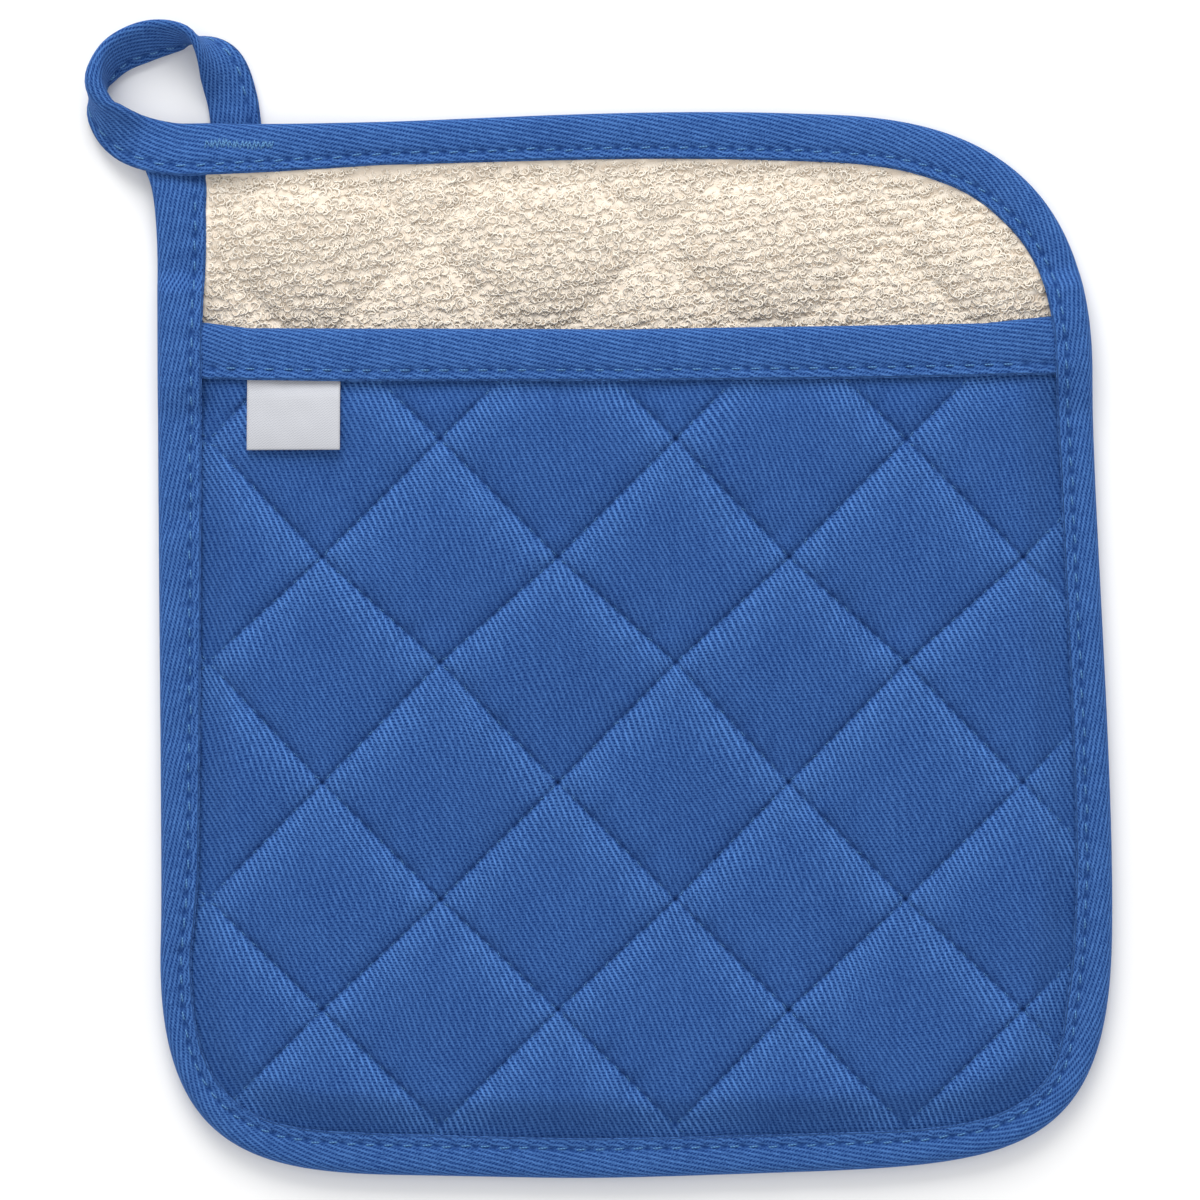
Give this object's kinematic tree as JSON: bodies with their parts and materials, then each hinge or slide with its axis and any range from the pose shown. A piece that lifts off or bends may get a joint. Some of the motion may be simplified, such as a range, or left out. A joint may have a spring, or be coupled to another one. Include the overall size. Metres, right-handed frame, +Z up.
{
  "type": "pocket pot holder",
  "caption": "Quilted cloth pot holder with a hand pocket, a terry lining, bound edges and a hanging loop, lying on its back.",
  "frame": {"origin": "middle of the underside of the whole pot holder's box, on the surface it lies on", "axes": "+X to the right of the pocket, +Y towards the bound top edge and the loop, +Z up from the surface, out of the pocket's face"},
  "size_m": [0.2178, 0.246, 0.017],
  "materials": {
    "blue_twill": "matt cotton twill in mid blue, fine diagonal ribs",
    "blue_tape": "matt cotton twill tape in the same blue, cut on the bias and folded",
    "terry": "natural cream cotton terry with uncut loops in rows",
    "white_woven": "smooth white woven label cloth with a slight sheen",
    "blue_thread": "twisted sewing thread, slightly lighter than the cloth"
  },
  "bodies": {
    "root": {"back_panel": "terry", "pocket_panel": "blue_twill", "pocket_binding": "blue_tape", "edge_binding": "blue_tape", "hanging_loop": "blue_tape", "label": "white_woven"}
  },
  "joints": []
}
